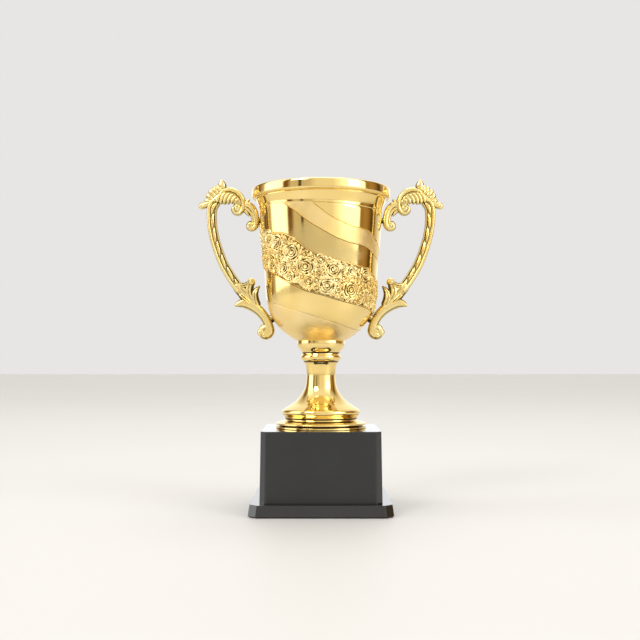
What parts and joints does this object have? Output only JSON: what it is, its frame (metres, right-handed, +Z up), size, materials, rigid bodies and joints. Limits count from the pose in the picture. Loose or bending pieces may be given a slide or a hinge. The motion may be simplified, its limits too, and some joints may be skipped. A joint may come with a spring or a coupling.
{
  "type": "cup trophy",
  "caption": "Gold-plated cup trophy with scroll handles and spiral relief bands, on a turned riser clamped to a black square plinth with a wider tray foot.",
  "frame": {"origin": "centre of the underside, on the surface that the trophy stands on", "axes": "+Z up along the tie rod, +X through the right handle as seen from the plate, -Y out of the name plate"},
  "size_m": [0.1662, 0.0924, 0.2202],
  "materials": {
    "gold_plate": "polished",
    "black_plastic": "gloss",
    "plate_grey": "satin",
    "steel": "satin",
    "ballast_iron": "matte",
    "gasket_rubber": "matte",
    "felt": "matte",
    "film": "matte"
  },
  "bodies": {
    "base": {"felt_pad": "felt", "foot_tray": "black_plastic", "plinth": "black_plastic", "ballast": "ballast_iron", "base_screws": "steel", "name_plate": "plate_grey", "plate_adhesive": "film"},
    "cup": {"seat_ring": "gold_plate", "stem": "gold_plate", "knop": "gold_plate", "collar": "gold_plate", "bowl": "gold_plate", "handle_left": "gold_plate", "handle_right": "gold_plate", "handle_screws": "steel", "handle_washers": "steel", "tie_rod": "steel", "gasket": "gasket_rubber", "top_washer": "steel", "top_nut": "steel", "lower_washer": "steel", "lock_washer": "steel", "lower_nut": "steel"}
  },
  "joints": [
    {"name": "cup_turn", "type": "hinge", "parent": "base", "child": "cup", "pos_m": [0, 0, 0.0535], "axis": [0, 0, 1], "continuous": true}
  ]
}
